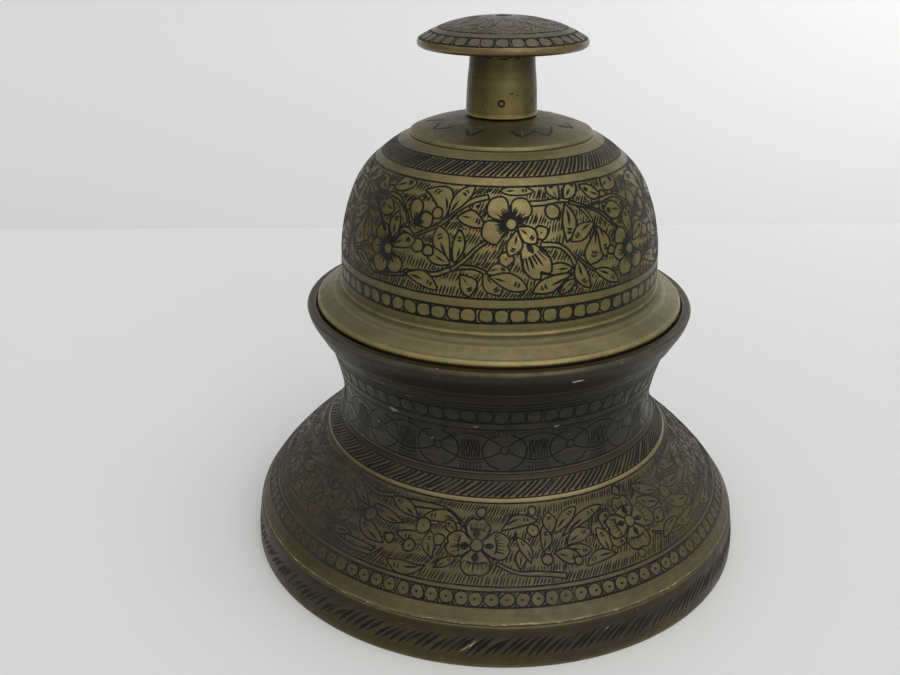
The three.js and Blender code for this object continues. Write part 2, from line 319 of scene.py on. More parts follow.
def aged_brass(name, colour, stain, bright, roughness, dust, seed=0.0):
    """Old brass. The colour drifts to a browner stain in broad clouds and fine mottling, dirt
    darkens the corners, and edges are rubbed bright. Fine turning lines run round it: noise read
    at the place's radius and height, hardly changing with the angle. Pale dust settles in patches
    where the surface faces up, as much of it as dust says, and a few pale specks lie about."""
    material, inputs = new_material(name)
    tree = material.node_tree
    place = node(tree, "TexCoord").outputs["Object"]
    shift = {"Vector": place, "Location": (seed, seed * 0.7, 0)}
    spot = node(tree, "Mapping", shift).outputs["Vector"]

    def patches(scale, detail, rough, low, high, at_low=0, at_high=1):
        """Noise fixed to the piece, spread from one range to another."""
        return ramp(noise(spot, scale, detail, rough), low, high, at_low, at_high)

    x, y, z = node(tree, "SeparateXYZ", {"Vector": place}).outputs
    radius = maths("SQRT", plus(times(x, x), times(y, y)))
    rings = node(tree, "CombineXYZ", {"X": radius, "Y": z, "Z": times(x, 0.02)}).outputs["Vector"]
    turning = noise(rings, 5200, 2, 0.6)
    broad_turning = noise(rings, 1300, 2, 0.5)
    clouds = patches(45, 5, 0.6, 0.38, 0.68)
    mottle = patches(420, 4, 0.65, 0.35, 0.7)
    kinds = ("worn", "grimy", "soiled")
    carried = [node(tree, "Attribute", attribute_name=kind).outputs["Fac"] for kind in kinds]
    worn, grimy, soiled = carried
    rubbed = times(worn, patches(260, 3, 0.6, 0.3, 0.62, 0.35, 1))
    dirt = times(grimy, patches(300, 3, 0.6, 0.3, 0.6, 0.5, 1))
    # Darkness carried from the section's stretches and the turn's spans: tarnish and painted shade where
    # above nothing, polish and painted light where below it.
    soil = times(soiled, patches(120, 4, 0.6, 0.3, 0.65, 0.75, 1))

    normal = node(tree, "NewGeometry").outputs["Normal"]
    up = node(tree, "SeparateXYZ", {"Vector": normal}).outputs["Z"]
    settled = times(ramp(up, 0.45, 0.97), patches(75, 6, 0.62, 0.36, 0.66, 0.2, 1))
    drift = times(times(grimy, ramp(up, 0.3, 0.8)), patches(190, 6, 0.7, 0.3, 0.6, 0.3, 1))
    settled = plus(times(settled, dust), times(drift, dust * 1.6))

    dark, black = (tuple(c * share for c in stain) for share in (0.55, 0.35))
    ruddy = (colour[0], colour[1] * 0.72, colour[2] * 0.7)
    tint = mix(clouds, colour, stain)
    for amount, other in (
        (patches(95, 3, 0.5, 0.55, 0.75, 0, 0.3), ruddy),
        (ramp(mottle, 0, 1, 0, 0.45), dark),
        (ramp(broad_turning, 0.42, 0.72, 0, 0.4), dark),
        (ramp(soil, 0, 1, 0, 0.85), black),
        (ramp(soil, 0, -1, 0, 0.8), bright),
        (times(rubbed, 0.85), bright),
        (times(dirt, 0.8), GRIME),
        (settled, DUST),
        (times(patches(900, 2, 0.5, 0.76, 0.8), 0.5), SPECK),
    ):
        tint = mix(amount, tint, other)
    plug(tint, inputs["Base Color"])

    shine = plus(ramp(clouds, 0, 1, roughness, roughness + 0.1), ramp(mottle, 0, 1, -0.04, 0.06))
    shine = maths("SUBTRACT", shine, times(rubbed, 0.12))
    shine = plus(plus(shine, times(dirt, 0.25)), times(settled, 0.25))
    plug(shine, inputs["Roughness"])
    metal = maths("SUBTRACT", ramp(clouds, 0, 1, 0.95, 0.84), times(settled, 0.8))
    plug(maths("SUBTRACT", metal, times(dirt, 0.4)), inputs["Metallic"])

    height = plus(plus(times(turning, 0.5), times(mottle, 0.4)), times(broad_turning, 0.8))
    lines = {"Strength": 0.35, "Distance": 0.00003, "Height": height}
    pits = {"Strength": 0.4, "Distance": 0.00012, "Height": patches(160, 5, 0.7, 0.3, 0.75)}
    pits["Normal"] = node(tree, "Bump", lines).outputs["Normal"]
    plug(node(tree, "Bump", pits).outputs["Normal"], inputs["Normal"])
    return material


foot_brass = aged_brass(
    "foot_brass", (0.126, 0.097, 0.042), (0.072, 0.062, 0.041), (0.43, 0.345, 0.165), 0.42, 0.1
)
foot_section = section(
    [(60, 0), (59.9, 3), (59.1, 8.6), (58.85, 9.35), (58.45, 9.5), (58.7, 9.75)],
    curve((58.45, 10.2), (54.9, 15), (50, 20.2), (44.6, 25), (40.2, 29.7), (38.25, 32.5)),
    [(38.05, 32.87), (36.6, 32.87), (36.6, 26.3), (34.8, 26.3), (34.8, 24.4)],
    curve((34.8, 24.4), (41, 24), (46.6, 19), (51.6, 13.6), (55, 8.4), (57.1, 3)),
    [(57.1, 0)],
    ease=0.09,
)
# Along the section: the skirt is dirtier and darker than the flare, and darkest just under the edge, a
# painted shade line under the overhang. The plain strip above the strokes is kept bright, and the collar
# where the waist stands is near black.
foot_soil_and_shade = (
    ((59.98, 1.6), (59.3, 7.2), 0.55),
    ((59.3, 7.2), (58.9, 9.3), 0.85),
    ((58.2, 10.6), (56.8, 12.3), -0.05),
    ((41.9, 28.2), (41, 28.95), -0.6),
    ((38.9, 31.7), (36.8, 32.87), 1),
)
# Painted shade darkens the foot's left, and painted light lifts its front right a little.
turned(
    "foot", foot_section, "stand", "foot_brass", foot_brass, "stand_foot", 300, 1.1, 0.3, foot_soil_and_shade,
    ((-85, -33, 0.24), (28, 75, -0.05)),
)


class EngravedBand:
    """A band of engraving round a turned piece. A place on it is (degrees round from the front,
    millimetres along the section from the band's start). Shapes are closed outlines: a shape
    covers the lines of every shape before it, and all shapes cover the ground. A cut is a line
    with a width. Each becomes a V-shaped groove filled with black lac: a three-sided bar whose
    top lies just proud of the brass and whose lower edge is buried in it."""

    PROUD = 0.02  # millimetres that the filling stands above the brass
    STAGGER = 0.012  # how much more than that, at most, so that cuts that cross share no face
    WAVER = 0.07  # millimetres that an outline strays by

    def __init__(self, name, track, start, end, seed, line=0.34):
        first, last = nearest(track, start, end)
        part = track[first : last + 1]
        self.name = name
        self.run = np.concatenate([[0], np.cumsum(np.hypot(*np.diff(part, axis=0).T))])
        self.r, self.z = part.T
        slope = np.gradient(part, self.run, axis=0)
        slope /= np.hypot(*slope.T)[:, None]
        self.out_r, self.out_z = slope[:, 1], -slope[:, 0]
        self.length = self.run[-1]
        self.scale = np.radians(1) * self.r.mean()
        self.random = np.random.default_rng(seed)
        self.uniform, self.normal = self.random.uniform, self.random.normal
        self.line = line
        self.shapes = []
        self.cuts = []

    def polar(self, place, reach, angle):
        """The place that lies a reach in millimetres and an angle in radians from another."""
        return place[0] + reach * np.cos(angle) / self.scale, place[1] + reach * np.sin(angle)

    def cut(self, u, t, width, level=-1, taper=0.0, step=0.3):
        """A cut through the places u, t, made of pieces about step millimetres long. level is the
        shape it lies on, -1 for the ground, or None where nothing covers it. taper is the length,
        in millimetres, over which its ends run out to nothing."""
        u, t = np.atleast_1d(u).astype(float), np.atleast_1d(t).astype(float)
        run = np.concatenate([[0], np.cumsum(np.hypot(np.diff(u) * self.scale, np.diff(t)))])
        count = max(3, int(run[-1] / step) + 1)
        along = np.linspace(0, run[-1], count)
        wide = np.interp(along, run, np.broadcast_to(width, u.shape))
        wide = wide * self.uniform(0.88, 1.1) * (1 + self.normal(0, 0.06, count))
        if taper:
            wide = wide * np.clip((np.minimum(along, run[-1] - along) + 0.05) / taper, 0.12, 1)
        self.cuts.append((np.interp(along, run, u), np.interp(along, run, t), wide, level))

    def shape(self, u, t, width=None):
        """A closed shape, outlined by a cut. Its outline wavers a little, by a sum of three slow
        waves, as a hand-held graver does. Returns its level."""
        turn = np.linspace(0, 2 * np.pi, len(u), endpoint=False)
        waves = []
        for size in (self.WAVER / self.scale, self.WAVER):
            phase = self.uniform(0, 2 * np.pi, 3)
            waves.append(sum(np.sin((n + 2) * turn + phase[n]) for n in range(3)) * size / 1.5)
        u = u + waves[0]
        t = np.clip(t + waves[1], 0.05, self.length - 0.05)
        self.shapes.append((u, t))
        level = len(self.shapes) - 1
        self.cut(np.append(u, u[0]), np.append(t, t[0]), width or self.line, level)
        return level

    def covered(self, u, t, level):
        """Which places lie inside a shape above their level: a place is inside an outline if a
        line from it crosses the outline an odd number of times."""
        hidden = np.zeros(len(u), bool)
        for index, (u1, t1) in enumerate(self.shapes):
            middle = (u1.min() + u1.max()) / 2
            near = (u - middle + 180) % 360 - 180 + middle
            test = ~hidden & (level < index) & (near > u1.min()) & (near < u1.max())
            test &= (t > t1.min()) & (t < t1.max())
            place_u, place_t = near[test][:, None], t[test][:, None]
            u2, t2 = np.roll(u1, -1), np.roll(t1, -1)
            spans = (t1 > place_t) != (t2 > place_t)
            rise = np.where(t2 == t1, 1e-9, t2 - t1)
            crosses = spans & (place_u < (u2 - u1) * (place_t - t1) / rise + u1)
            hidden[test] = crosses.sum(1) % 2 == 1
        return hidden

    def fill(self, body, material, faded=(), slot="black_lac"):
        """Makes all the cuts into one piece of inlay. An attribute, faded, says how much
        the lac is paled towards the brass, from spans of the turn: rubbed away, and painted sheen where
        glancing light washes it out."""
        u, t, wide = (np.concatenate([cut[i] for cut in self.cuts]) for i in range(3))
        counts = [len(cut[0]) for cut in self.cuts]
        above_all = len(self.shapes)
        level = np.repeat([above_all if cut[3] is None else cut[3] for cut in self.cuts], counts)
        owner = np.repeat(np.arange(len(counts)), counts)
        seen = ~self.covered(u, t, level)
        joined = (owner[1:] == owner[:-1]) & seen[1:] & seen[:-1]
        before = np.concatenate([[False], joined])
        after = np.concatenate([joined, [False]])
        keep = before | after
        index = np.cumsum(keep) - 1
        angle = np.radians(u)
        r, z, out_r, out_z = (np.interp(t, self.run, a) for a in (self.r, self.z, self.out_r, self.out_z))
        around = np.column_stack([np.sin(angle), -np.cos(angle)])
        place = np.column_stack([around * r[:, None], z])
        out = np.column_stack([around * out_r[:, None], out_z])
        ahead = np.where(after[:, None], np.roll(place, -1, 0), place)
        behind = np.where(before[:, None], np.roll(place, 1, 0), place)
        side = np.cross(out, ahead - behind)
        side /= np.maximum(np.linalg.norm(side, axis=1), 1e-9)[:, None]
        half, deep = side * wide[:, None] / 2, np.minimum(wide * 0.6, 0.3)[:, None]
        lift = (self.PROUD + self.STAGGER * ((owner * 0.618) % 1))[:, None]
        top = place + out * lift
        points = np.stack([top + half, top - half, place - out * deep], 1)[keep]
        start = index[np.flatnonzero(after)] * 3
        end = start + 3
        walls = [
            (start + 1, end + 1, end, start),
            (start, end, end + 2, start + 2),
            (start + 1, start + 2, end + 2, end + 1),
        ]
        faces = np.concatenate([np.column_stack(w) for w in walls]).tolist()
        heads = index[np.flatnonzero(after & ~before)] * 3
        tails = index[np.flatnonzero(before & ~after)] * 3
        faces += np.column_stack([heads, heads + 2, heads + 1]).tolist()
        faces += np.column_stack([tails, tails + 1, tails + 2]).tolist()
        # How much the lac is paled at each place round the turn: rubbed wear, and painted sheen at the
        # glancing left and right of a piece.
        paling = np.repeat(by_side(u[keep], faded), 3)
        build(self.name, points, faces, material, slot, body, False, faded=paling)


def ring_line(band, t, width=None):
    """A line right round the band, cut in 24 strokes that don't quite meet in line."""
    for start in np.arange(0, 360, 15):
        u = np.linspace(start, start + 15.4, 12)
        drift = band.normal(0, 0.04)
        wave = 0.03 * np.sin(np.radians(u * 7))
        band.cut(u, t + drift + wave, width or band.line, None, taper=0.3)


def edge_lines(band, width=None):
    """A line round each edge of the band."""
    ring_line(band, 0, width)
    ring_line(band, band.length, width)


CIRCLE = np.linspace(0, 2 * np.pi, 16, endpoint=False)
ACROSS = np.array([-0.5, 0, 0.5])


def bead_row(band, low, high, count, turn=0.0, dot=0.0, square=1.0):
    """A row of beads between two lines, with a small dark corner between neighbours. A bead is a
    circle whose sine and cosine are raised to the power square, below 1 for a squarer bead. dot
    is the width of the dot in its middle."""
    pitch = 360 / count
    middle, tall = (low + high) / 2, (high - low) / 2 * 0.93
    side = np.sign(np.cos(CIRCLE)) * np.abs(np.cos(CIRCLE)) ** square
    height = np.sign(np.sin(CIRCLE)) * np.abs(np.sin(CIRCLE)) ** square
    for i in range(count):
        u = turn + pitch * (i + band.normal(0, 0.04))
        wide = pitch * 0.5 * band.uniform(0.91, 1)
        wave = 1 + 0.05 * band.normal() * np.cos(2 * CIRCLE + band.uniform(0, 6))
        level = band.shape(u + wide * side * wave, middle + tall * height * wave)
        if dot:
            spot = band.normal(0, 0.12, 2)
            dot_u = u + spot[0] + ACROSS * dot / band.scale
            band.cut(dot_u, middle + spot[1] + ACROSS * 0, dot, level, taper=0.2)
        for edge, lean in ((low, 0.35), (high, -0.35)):
            dart = np.array([2.3, 1.4, 0.3]) * band.line
            band.cut([u + pitch / 2] * 3, [edge, edge + lean, edge + lean * 2.4], dart)
    ring_line(band, low, band.line * 1.1)
    ring_line(band, high, band.line * 1.1)


def slanting_cuts(band, low, high, count, lean, width, skip=0, ragged=0.25, curved=0, point=0.5):
    """Slanting strokes side by side all round, each leaning by lean degrees of the turn from its
    lower end to its upper one. A share of them, skip, is missing."""
    part = np.linspace(0, 1, 5)
    for i in range(count):
        if band.random.random() < skip:
            continue
        u = (i + band.normal(0, 0.06)) * 360 / count
        low_end = low + band.uniform(0, ragged)
        high_end = high - band.uniform(0, ragged)
        u = u + lean * band.uniform(0.95, 1.04) * (part + curved * part * (1 - part))
        wide = width * band.uniform(0.9, 1.1)
        band.cut(u, low_end + (high_end - low_end) * part, wide, -1, point)


def leaf(band, base, tip, width, bend=0.0, belly=0.55, blunt=0.8, veins=True):
    """A leaf or petal. Its middle line runs from base to tip, bowed sideways by bend times its
    length as a parabola. Its half width is the sine of the way along, raised to blunt, with its
    widest place at belly. A short vein and two ticks are cut on it."""
    start = np.array([base[0] * band.scale, base[1]])
    axis = np.array([tip[0] * band.scale, tip[1]]) - start
    across = np.array([-axis[1], axis[0]])
    length = np.hypot(*axis)
    part = (1 - np.cos(np.linspace(0, np.pi, 15))) / 2
    power = np.log(0.5) / np.log(belly)

    def middle(s):
        return start + s[..., None] * axis + (4 * bend * s * (1 - s))[..., None] * across

    half = width / 2 / length * np.sin(np.pi * part**power) ** blunt
    left = middle(part) + half[:, None] * across
    right = middle(part) - half[:, None] * across
    ring = np.vstack([left, right[-2:0:-1]])
    level = band.shape(ring[:, 0] / band.scale, ring[:, 1])
    if veins:
        turn = band.uniform(-0.04, 0.04)
        vein = middle(np.linspace(0.14, band.uniform(0.45, 0.6), 5)) + turn * across
        band.cut(vein[:, 0] / band.scale, vein[:, 1], band.line * 1.25, level, taper=1.2)
        for s in (0.66, 0.75):
            tick = middle(np.full(3, s)) + ACROSS[:, None] * across / length * width * 0.36
            tick = tick + np.array([0, 0.03, 0])[:, None] * axis
            band.cut(tick[:, 0] / band.scale, tick[:, 1], band.line * 1.05, level, taper=0.3)
    return level


def bud(band, place, radius, dot=False):
    """A small round bud, with or without a dot in its middle."""
    level = band.shape(*band.polar(place, radius, CIRCLE))
    if dot:
        here = 0.4 * ACROSS
        band.cut(place[0] + here / band.scale, place[1] + here * 0.3, 0.42, level, taper=0.15)


def stem(band, places, start, end):
    """A stem along a smooth curve, its width running from start to end millimetres."""
    path = curve(*[(u * band.scale, t) for u, t in places])[::12]
    way = np.gradient(path, axis=0)
    way /= np.hypot(*way.T)[:, None]
    half = np.column_stack([-way[:, 1], way[:, 0]])
    half = half * np.linspace(start, end, len(path))[:, None] / 2
    ring = np.vstack([path + half, (path - half)[::-1]])
    band.shape(ring[:, 0] / band.scale, ring[:, 1])


def rays(band, place, inner, outer, angles, width, level, spread=0.4):
    """Strokes that radiate from a place, their outer ends ragged."""
    for angle in np.radians(angles):
        angle = angle + band.normal(0, 0.04)
        far = inner + (outer - inner) * band.uniform(1 - spread, 1)
        reach = np.linspace(inner, far, 4)
        band.cut(*band.polar(place, reach, angle), np.linspace(width, width * 0.35, 4), level)


def hatched_ground(band, low, high, row, pitch, width):
    """Short strokes that fill the ground between the shapes. They stand in rows that wave up and
    down, and their lean drifts slowly from place to place."""
    count = max(1, round((high - low) / row))
    step = (high - low) / count
    part = np.linspace(0, 1, 3)
    for k in range(count):
        shift = band.uniform(0, 6)
        steps = int(360 * band.scale / pitch)
        for i in range(steps):
            u = (i + band.uniform(-0.2, 0.2)) * 360 / steps
            drift = np.sin(np.radians(u * 5) + shift) + 0.4 * np.sin(np.radians(u * 11) + 2 * shift)
            base = low + k * step + (0.25 * np.sin(np.radians(u * 9) + shift) * step if k else 0)
            top = min(high, base + step * band.uniform(0.75, 1.02))
            slide = (0.5 + 0.2 * drift) * (top - base) / band.scale
            band.cut(u + slide * part, base + (top - base) * part, width, -1, 0.3, 0.6)


def black_fill(name, colour=(0.005, 0.0046, 0.004), paled_to=(0.06, 0.052, 0.034), wear=0.2, roughness=0.6):
    """Black lac rubbed into the engraving: dull, rubbed away to the brass below in places, and
    paled as painted sheen where an attribute says.
    """
    material, inputs = new_material(name)
    tree = material.node_tree
    place = node(tree, "TexCoord").outputs["Object"]
    patchy = ramp(noise(place, 210, 4, 0.5), 0.5, 0.72, 0, wear * 2)
    faded = node(tree, "Attribute", attribute_name="faded").outputs["Fac"]
    paling = node(tree, "Math", {0: patchy, 1: faded}, use_clamp=True).outputs["Value"]
    plug(mix(paling, colour, paled_to), inputs["Base Color"])
    plug(roughness, inputs["Roughness"])
    plug(0.16, inputs["Specular IOR Level"])
    return material


foot_lac = black_fill("foot_lac")

# Engraving of the foot, from the edge up: slanting strokes round the skirt, a row of dotted beads,
# a wide band of flowers and leaves on a hatched ground, and a band of slanting strokes under the
# waist. The flowers stand in pairs, each pair a quarter turn from the next.
band = EngravedBand("skirt_cuts", foot_section, (59.95, 2.2), (59.35, 7.6), 11)
slanting_cuts(
    band, 0.2, band.length - 0.1, 205, 4.6, 0.78, skip=0.04, ragged=1, curved=-0.3, point=2.2
)
band.fill("stand", foot_lac)

# Painted sheen: the lac is paled at the glancing left and right of the foot, where reflections wash the
# pattern out, and rubbed at the back.
foot_faded = ((-85, -38, 0.4), (48, 90, 0.35), (135, 170, 0.3))
band = EngravedBand("foot_beads", foot_section, (56.6, 12.5), (54.8, 15.2), 12)
bead_row(band, 0.05, band.length - 0.05, 111, dot=0.62)
band.fill("stand", foot_lac, foot_faded)


def fan_petal(band, place, angle, length, spread, drop, notch=0.1, tip=0.3):
    """A broad petal with a notched tip, fanning out from a place. In polar form its edge is its
    length times the cosine of the angle off its axis raised to the power tip, less a narrow dip.
    A dark drop is cut at its foot, from drop's first reach to its second, drop's third wide."""
    off = np.linspace(-1, 1, 23)
    reach = length * np.cos(off * np.pi / 2 * 0.995) ** tip
    reach *= 1 - notch * np.exp(-((off / 0.13) ** 2))
    reach[[0, -1]] = 0.2
    level = band.shape(*band.polar(place, reach, np.radians(angle + off * spread)))
    near, far, wide = drop
    tilt = np.radians(angle + band.uniform(-7, 7))
    fat = np.array([0.3, 0.8, 1, 0.8, 0.25]) * wide
    band.cut(*band.polar(place, np.linspace(near, far, 5), tilt), fat, level)
    return level


def four_petal_flower(band, place, size=1.0):
    """A flower of four fan petals round a button. Each has an arc across its middle and short
    strokes that run out from the arc."""
    for angle, length, spread in ((90, 6, 50), (180, 6.7, 44), (0, 7.1, 44), (270, 6.8, 48)):
        length = length * size * band.uniform(0.95, 1.04)
        drop = (1.6 * size, 3.6 * size, 1.55 * size)
        level = fan_petal(band, place, angle, length, spread, drop)
        near = length * 0.58
        arc = np.radians(angle + np.linspace(-0.62, 0.62, 7) * spread)
        band.cut(*band.polar(place, near, arc), band.line, level, 0.5)
        fan = angle + np.linspace(-0.7, 0.7, 9) * spread
        rays(band, place, near, length * 0.86, fan, 0.26, level, 0.25)
    bud(band, place, 1.35 * size)


def quarter_of_flowers(band, quarter, drop, stems, leaves, buds):
    """The stems, leaves and buds of one quarter of a band. Returns a function that gives a place
    in that quarter, moved a little at random after the first, as no two were cut alike."""

    def at(u, t):
        wander = band.normal(0, 0.16, 2) * (quarter > 0)
        return (u + 90 * quarter + wander[0] / band.scale, t + wander[1] - drop)

    for start, end, *places in stems:
        stem(band, [at(*place) for place in places], start, end)
    for base_u, base_t, tip_u, tip_t, *how in leaves:
        leaf(band, at(base_u, base_t), at(tip_u, tip_t), *how)
    for u, t, *how in buds:
        bud(band, at(u, t), *how)
    return at


# The first two numbers of a stem are its widths, the rest its places. A leaf is its base, its tip,
# its width and its bend. A bud is its place and radius, then True if it has a dot.
foot_stems = (
    (1.5, 0.5, (-26, 15), (-18, 15.4), (-12, 14.8), (-7.5, 12.2)),
    (0.5, 1.3, (1, 4.9), (5.5, 2.9), (11, 2.5), (17, 1.4)),
    (0.4, 0.7, (33.5, 12.6), (29, 13.4), (26.6, 11.2), (25.6, 8.4)),
    (0.5, 1.2, (-48, 13), (-42, 15.4), (-36, 14.6), (-30, 15.6)),
    (0.5, 1, (43, 4.6), (47, 2.8), (54, 1.9), (60, 2.2)),
)
foot_leaves = (
    (2.2, 11.6, 12, 13.5, 2.7, 0.14), (12.4, 6.6, 13.6, 12.3, 2.5, -0.1),
    (15.3, 10.6, 15.6, 15, 3.3, 0), (16.2, 10.4, 24, 15.2, 2.8, 0.05),
    (18, 9.6, 32, 14.2, 2.4, 0.06), (18.6, 7.6, 26.4, 9.6, 3, 0.1),
    (18.2, 7.2, 24.8, 5.6, 2.6, -0.05), (15.2, 6.6, 21.6, 4.2, 3.2, 0),
    (29, 3.4, 27.8, 9.8, 3, -0.08), (31, 3.4, 22.2, 2.6, 2.4, -0.14),
    (6.6, 3.4, 8.6, 8.6, 2.4, 0.1), (9.2, 4.6, 6, 10.2, 2.2, -0.1), (29.8, 9, 33.2, 12.4, 3, 0.1),
    (30.4, 7.4, 34.6, 5.2, 3, -0.1), (-8.6, 12.8, -19.6, 12.6, 2.8, -0.12),
    (-13.8, 9, -25, 8.2, 3, 0.06), (-14.6, 4.6, -16.4, 10.2, 2.8, 0.05),
    (-15.4, 2.9, -25.2, 2.2, 2.8, 0.14), (-13.6, 2.8, -8.8, 5.6, 1.8, 0),
    (-20.6, 12.2, -30.4, 15, 2.8, -0.06), (-24.2, 10.6, -34.8, 12.2, 2.6, 0.06),
    (-27.4, 5.2, -36.8, 8.6, 3.2, 0.06), (-28.8, 3.6, -38.6, 3.4, 2.6, 0.12),
    (-36.6, 4, -44.8, 2.4, 2.2, -0.1), (-38.6, 9.6, -46.2, 12.6, 3, 0.08),
    (-36.2, 11.4, -45.6, 15.6, 2.6, 0.05), (-39.4, 8, -44.6, 6, 2.8, 0),
    (-9.4, 10.6, -12.8, 13, 2.4, 0),
)
foot_buds = (
    (10.6, 11.5, 1.35, True), (11, 15.7, 1), (13.2, 5.2, 1.15), (20.6, 4, 0.9),
    (-18.6, 11, 1.7, True), (-13.6, 8.7, 1.25), (-20.8, 6.2, 1.35, True), (-34.4, 9.8, 1.6, True),
    (-3.3, 15.4, 1.15), (38.6, 15.9, 1.1), (-26.4, 6.6, 1.1), (37.2, 1.6, 0.9),
)
band = EngravedBand("foot_flowers", foot_section, (54.3, 16), (41.9, 28.2), 13, 0.38)
for quarter in range(4):
    at = quarter_of_flowers(band, quarter, 0, foot_stems, foot_leaves, foot_buds)
    four_petal_flower(band, at(-3.9, 8.4))
    four_petal_flower(band, at(38.2, 8.8), 0.96)
hatched_ground(band, 0.1, band.length - 0.1, 2.6, 0.68, 0.33)
edge_lines(band)
band.fill("stand", foot_lac, foot_faded)

band = EngravedBand("foot_strokes", foot_section, (41, 28.95), (38.6, 31.7), 14)
slanting_cuts(band, 0, band.length, 172, 6.6, 0.54, curved=0.1)
edge_lines(band)
band.fill("stand", foot_lac)

# ------------
# Waist. The stand's middle ring, a hollow spool of brass that has gone nearly black. Its lower end
# is spigoted into the foot, its upper end into the ring above.
waist_brass = aged_brass(
    "waist_brass", (0.062, 0.058, 0.042), (0.043, 0.041, 0.032), (0.16, 0.14, 0.09), 0.4, 0.16, 3.1
)
waist_section = section(
    [(36.3, 26.6), (36.3, 32.9)],
    curve((38, 32.9), (37.2, 37.6), (37.7, 42), (39.2, 48), (40.8, 52.2), (41.3, 53)),
    [(38.4, 53), (38.4, 56.6), (35.2, 56.6), (34.8, 56), (34.8, 26.6)],
)
turned("waist", waist_section, "stand", "waist_brass", waist_brass, "stand_waist", 240, 1.2, 0.3)

# Engraving of the waist: sixteen rosettes, where two waving lines cross inside a circle, between
# panels of upright strokes, with a row of beads above them, all nearly as dark as the metal.
waist_lac = black_fill("waist_lac", (0.003, 0.003, 0.003), (0.02, 0.019, 0.015), 0.3)
# Painted sheen: the lac is paled to the metal's colour at the glancing left and right of the waist, where
# reflections wash the pattern out.
waist_faded = ((-90, -46, 1), (48, 90, 0.85))
band = EngravedBand("waist_beads", waist_section, (38.45, 45.3), (39.45, 48.95), 21, 0.3)
bead_row(band, 0, band.length, 70, turn=2, square=0.9)
band.fill("stand", waist_lac, waist_faded)

band = EngravedBand("waist_lines", waist_section, (39.6, 49.7), (40.3, 51.2), 22)
ring_line(band, 0, 0.25)
ring_line(band, 0.9, 0.22)
band.fill("stand", waist_lac)


def rosette(band, u):
    """A small ring where the two waving lines cross, inside a circle that nearly fills the band."""
    middle = band.length * 0.48
    ring = np.linspace(0, 2 * np.pi, 18, endpoint=False)
    band.shape(*band.polar((u, middle), 0.95, ring), 0.32)
    for side in (0, np.pi):
        arc = side + np.linspace(-1.35, 1.35, 16)
        arc_u = u + 4.8 / band.scale * np.cos(arc)
        band.cut(arc_u, middle - 0.3 + 4.3 * np.sin(arc), 0.34, taper=0.2)


def upright_panel(band, u):
    """The panel between two rosettes: upright wavering strokes on a double base line, with a row
    of short strokes below it."""
    part = np.linspace(0, 1, 7)
    for i in range(8):
        foot = (i - 3.5) * 0.54
        sway = 0.16 * np.sin(part * 9 + band.uniform(0, 6))
        low = 2.5 + band.uniform(0, 0.3)
        high = 7.7 - 0.05 * (i - 3.5) ** 2 + band.uniform(-0.3, 0.2)
        band.cut(u + (foot + sway) / band.scale, low + part * (high - low), 0.3, taper=0.4)
    for t in (1.6, 2.3):
        across = np.linspace(-2.5, 2.5, 7)
        band.cut(u + across / band.scale, t + 0.05 * across**2, 0.28, taper=0.3)
    for i in range(7):
        foot = (i - 3) * 0.72
        band.cut(u + (foot + 0.1 * part) / band.scale, 0.2 + 1.2 * part, 0.3, taper=0.2)


ROSETTES = 16
ROSETTE_TURN = 360 / ROSETTES
FIRST_ROSETTE = 3.4
band = EngravedBand("rosettes", waist_section, (37.8, 33.6), (38.1, 43.65), 23, 0.3)
part = np.linspace(0, ROSETTE_TURN, 16)
for i in range(ROSETTES):
    here = FIRST_ROSETTE + ROSETTE_TURN * i
    rosette(band, here)
    upright_panel(band, FIRST_ROSETTE + ROSETTE_TURN * (i + 0.5))
    for swing in (4.1, -2.5):
        wave = swing * np.sin(np.pi * part / ROSETTE_TURN) ** 0.85
        band.cut(here + part, band.length * 0.48 + wave, 0.32)
slanting_cuts(band, band.length - 1.3, band.length - 0.1, 290, 0.6, 0.3, ragged=0.4)
ring_line(band, 0, 0.38)
ring_line(band, band.length, 0.3)
band.fill("stand", waist_lac, waist_faded)

# ------------
# Ring. The turned brass ring on top of the waist. Its lip stands up round the bell's flange, and
# inside the lip a rebate makes the seat that the bell rests on.
ring_brass = aged_brass(
    "ring_brass", (0.05, 0.047, 0.032), (0.037, 0.034, 0.025), (0.2, 0.16, 0.085), 0.42, 0.06, 5.3
)
ring_section = section(
    [(38.7, 53.3), (42, 53.3), (42.3, 54)],
    curve((42.3, 54), (43.3, 55.6), (44.4, 57.6), (44.95, 59.4)),
    [(44.6, 60), (42.95, 60), (42.75, 59.85), (42.75, 58.3)],
    [(35.6, 58.3), (35.2, 57.9), (35.2, 56.9), (38.7, 56.9)],
)
turned("ring", ring_section, "stand", "waist_brass", ring_brass, "stand_ring", 260, polish=0.3)

